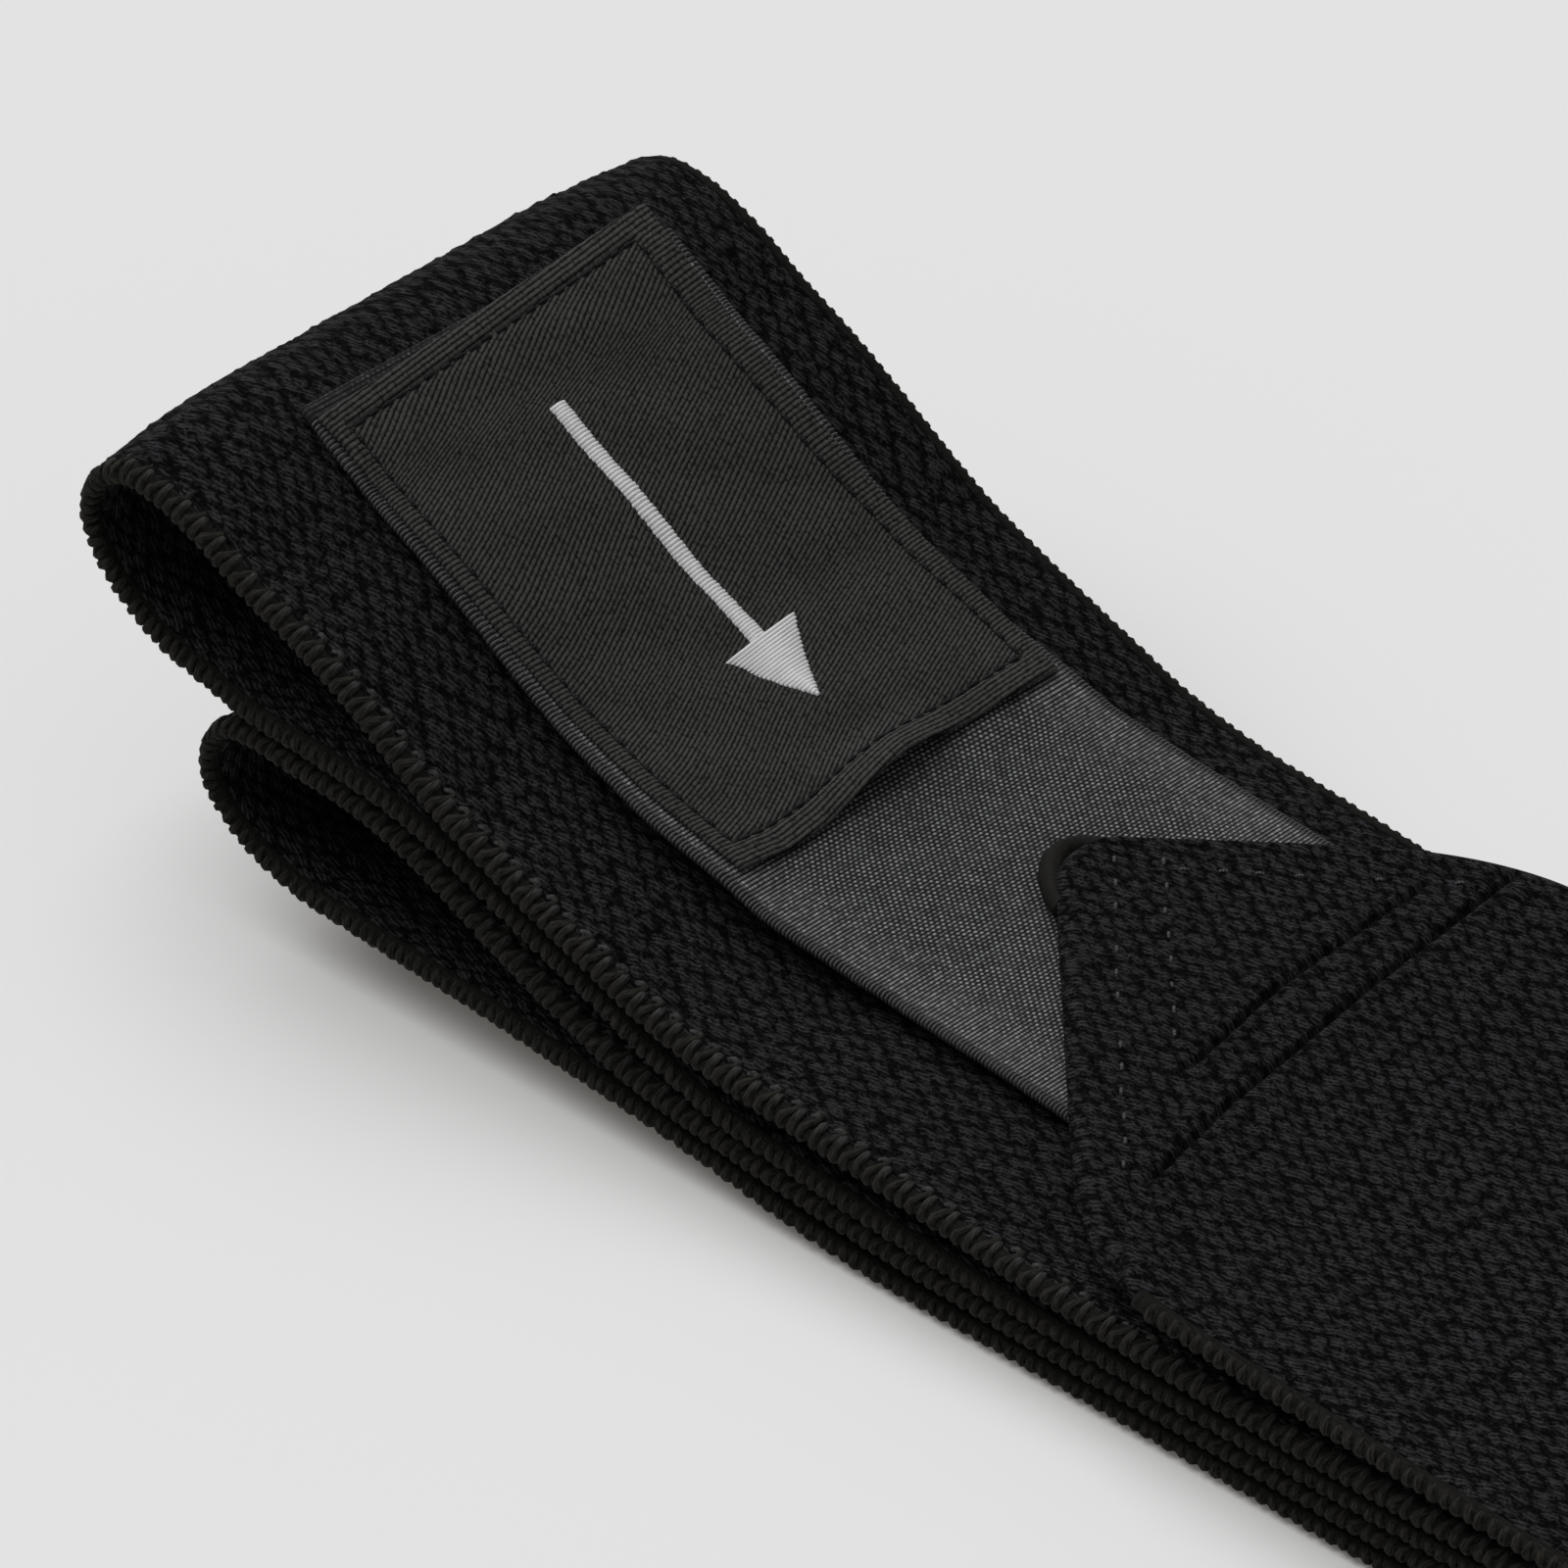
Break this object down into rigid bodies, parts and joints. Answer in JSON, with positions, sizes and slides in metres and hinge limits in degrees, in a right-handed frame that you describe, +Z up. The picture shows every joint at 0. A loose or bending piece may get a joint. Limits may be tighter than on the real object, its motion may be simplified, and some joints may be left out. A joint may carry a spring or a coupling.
{
  "type": "knee wrap",
  "caption": "Elastic knit knee wrap folded to and fro into a flat packet, with overlocked edges, a pointed sewn end, a woven fastening tab and a plain label.",
  "frame": {"origin": "middle of the underside's bounding box, on the surface that the folded wrap lies on", "axes": "+X along the band from the open loops to the closed folds, +Y across the band to its back edge, +Z up"},
  "size_m": [0.4296, 0.08, 0.053],
  "materials": {
    "knit": "matte ribbed elastic knit",
    "edge_thread": "overlocked thread with a low sheen",
    "tape": "fine woven tape with a low sheen",
    "twill": "matte fine twill"
  },
  "bodies": {
    "root": {"wrap_band": "knit", "edge_overlock_front": "edge_thread", "edge_overlock_back": "edge_thread", "hook_tab": "tape", "label": "twill"}
  },
  "joints": []
}
